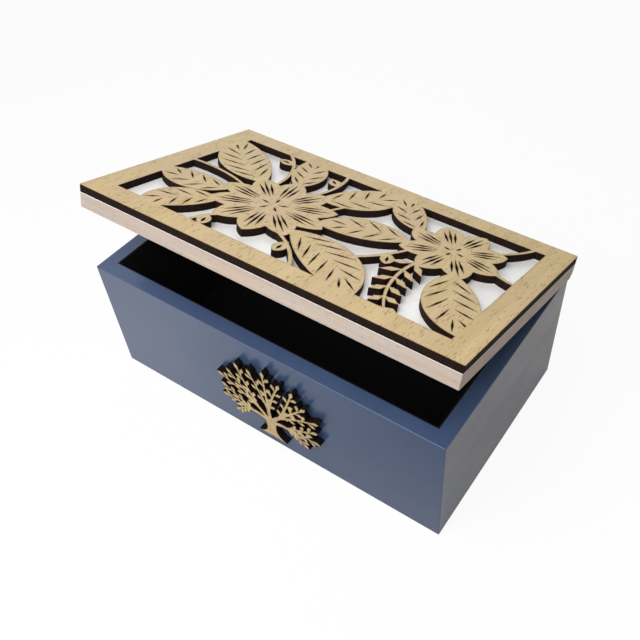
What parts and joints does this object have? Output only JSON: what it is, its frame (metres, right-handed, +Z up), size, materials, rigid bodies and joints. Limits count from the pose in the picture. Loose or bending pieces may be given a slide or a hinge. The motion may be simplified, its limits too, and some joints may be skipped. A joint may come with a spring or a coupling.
{
  "type": "hinged wooden storage box",
  "caption": "Small oblong painted storage box with a hinged wooden lid faced by a pierced flower plate and a tree ornament on the front.",
  "frame": {"origin": "centre of the box's underside, on the surface it stands on", "axes": "+X to the right along the long front, +Y from the front to the hinged back, +Z up"},
  "size_m": [0.2204, 0.137, 0.1259],
  "materials": {
    "blue_paint": "satin blue-grey paint on board",
    "bare_board": "bare pale wood, sanded",
    "black_felt": "matte black felt",
    "oak_veneer": "pale oak veneer with dark laser-cut edges",
    "white_sheet": "smooth white sheet",
    "hinge_brass": "polished brass"
  },
  "bodies": {
    "body": {"front_panel": "blue_paint", "back_panel": "blue_paint", "left_panel": "blue_paint", "right_panel": "blue_paint", "base_panel": "bare_board", "floor_lining": "black_felt", "front_lining": "black_felt", "back_lining": "black_felt", "left_lining": "black_felt", "right_lining": "black_felt", "tree_applique": "oak_veneer", "left_hinge_body_leaf": "hinge_brass", "left_hinge_pin": "hinge_brass", "right_hinge_body_leaf": "hinge_brass", "right_hinge_pin": "hinge_brass", "body_leaf_screws": "hinge_brass"},
    "lid": {"lid_board": "bare_board", "backing_sheet": "white_sheet", "fret_plate": "oak_veneer", "left_hinge_lid_leaf": "hinge_brass", "right_hinge_lid_leaf": "hinge_brass", "lid_leaf_screws": "hinge_brass"}
  },
  "joints": [
    {"name": "lid_hinge", "type": "hinge", "parent": "body", "child": "lid", "pos_m": [0, 0.06225, 0.07665], "axis": [-1, 0, 0], "range_deg": [-17, 83]}
  ]
}
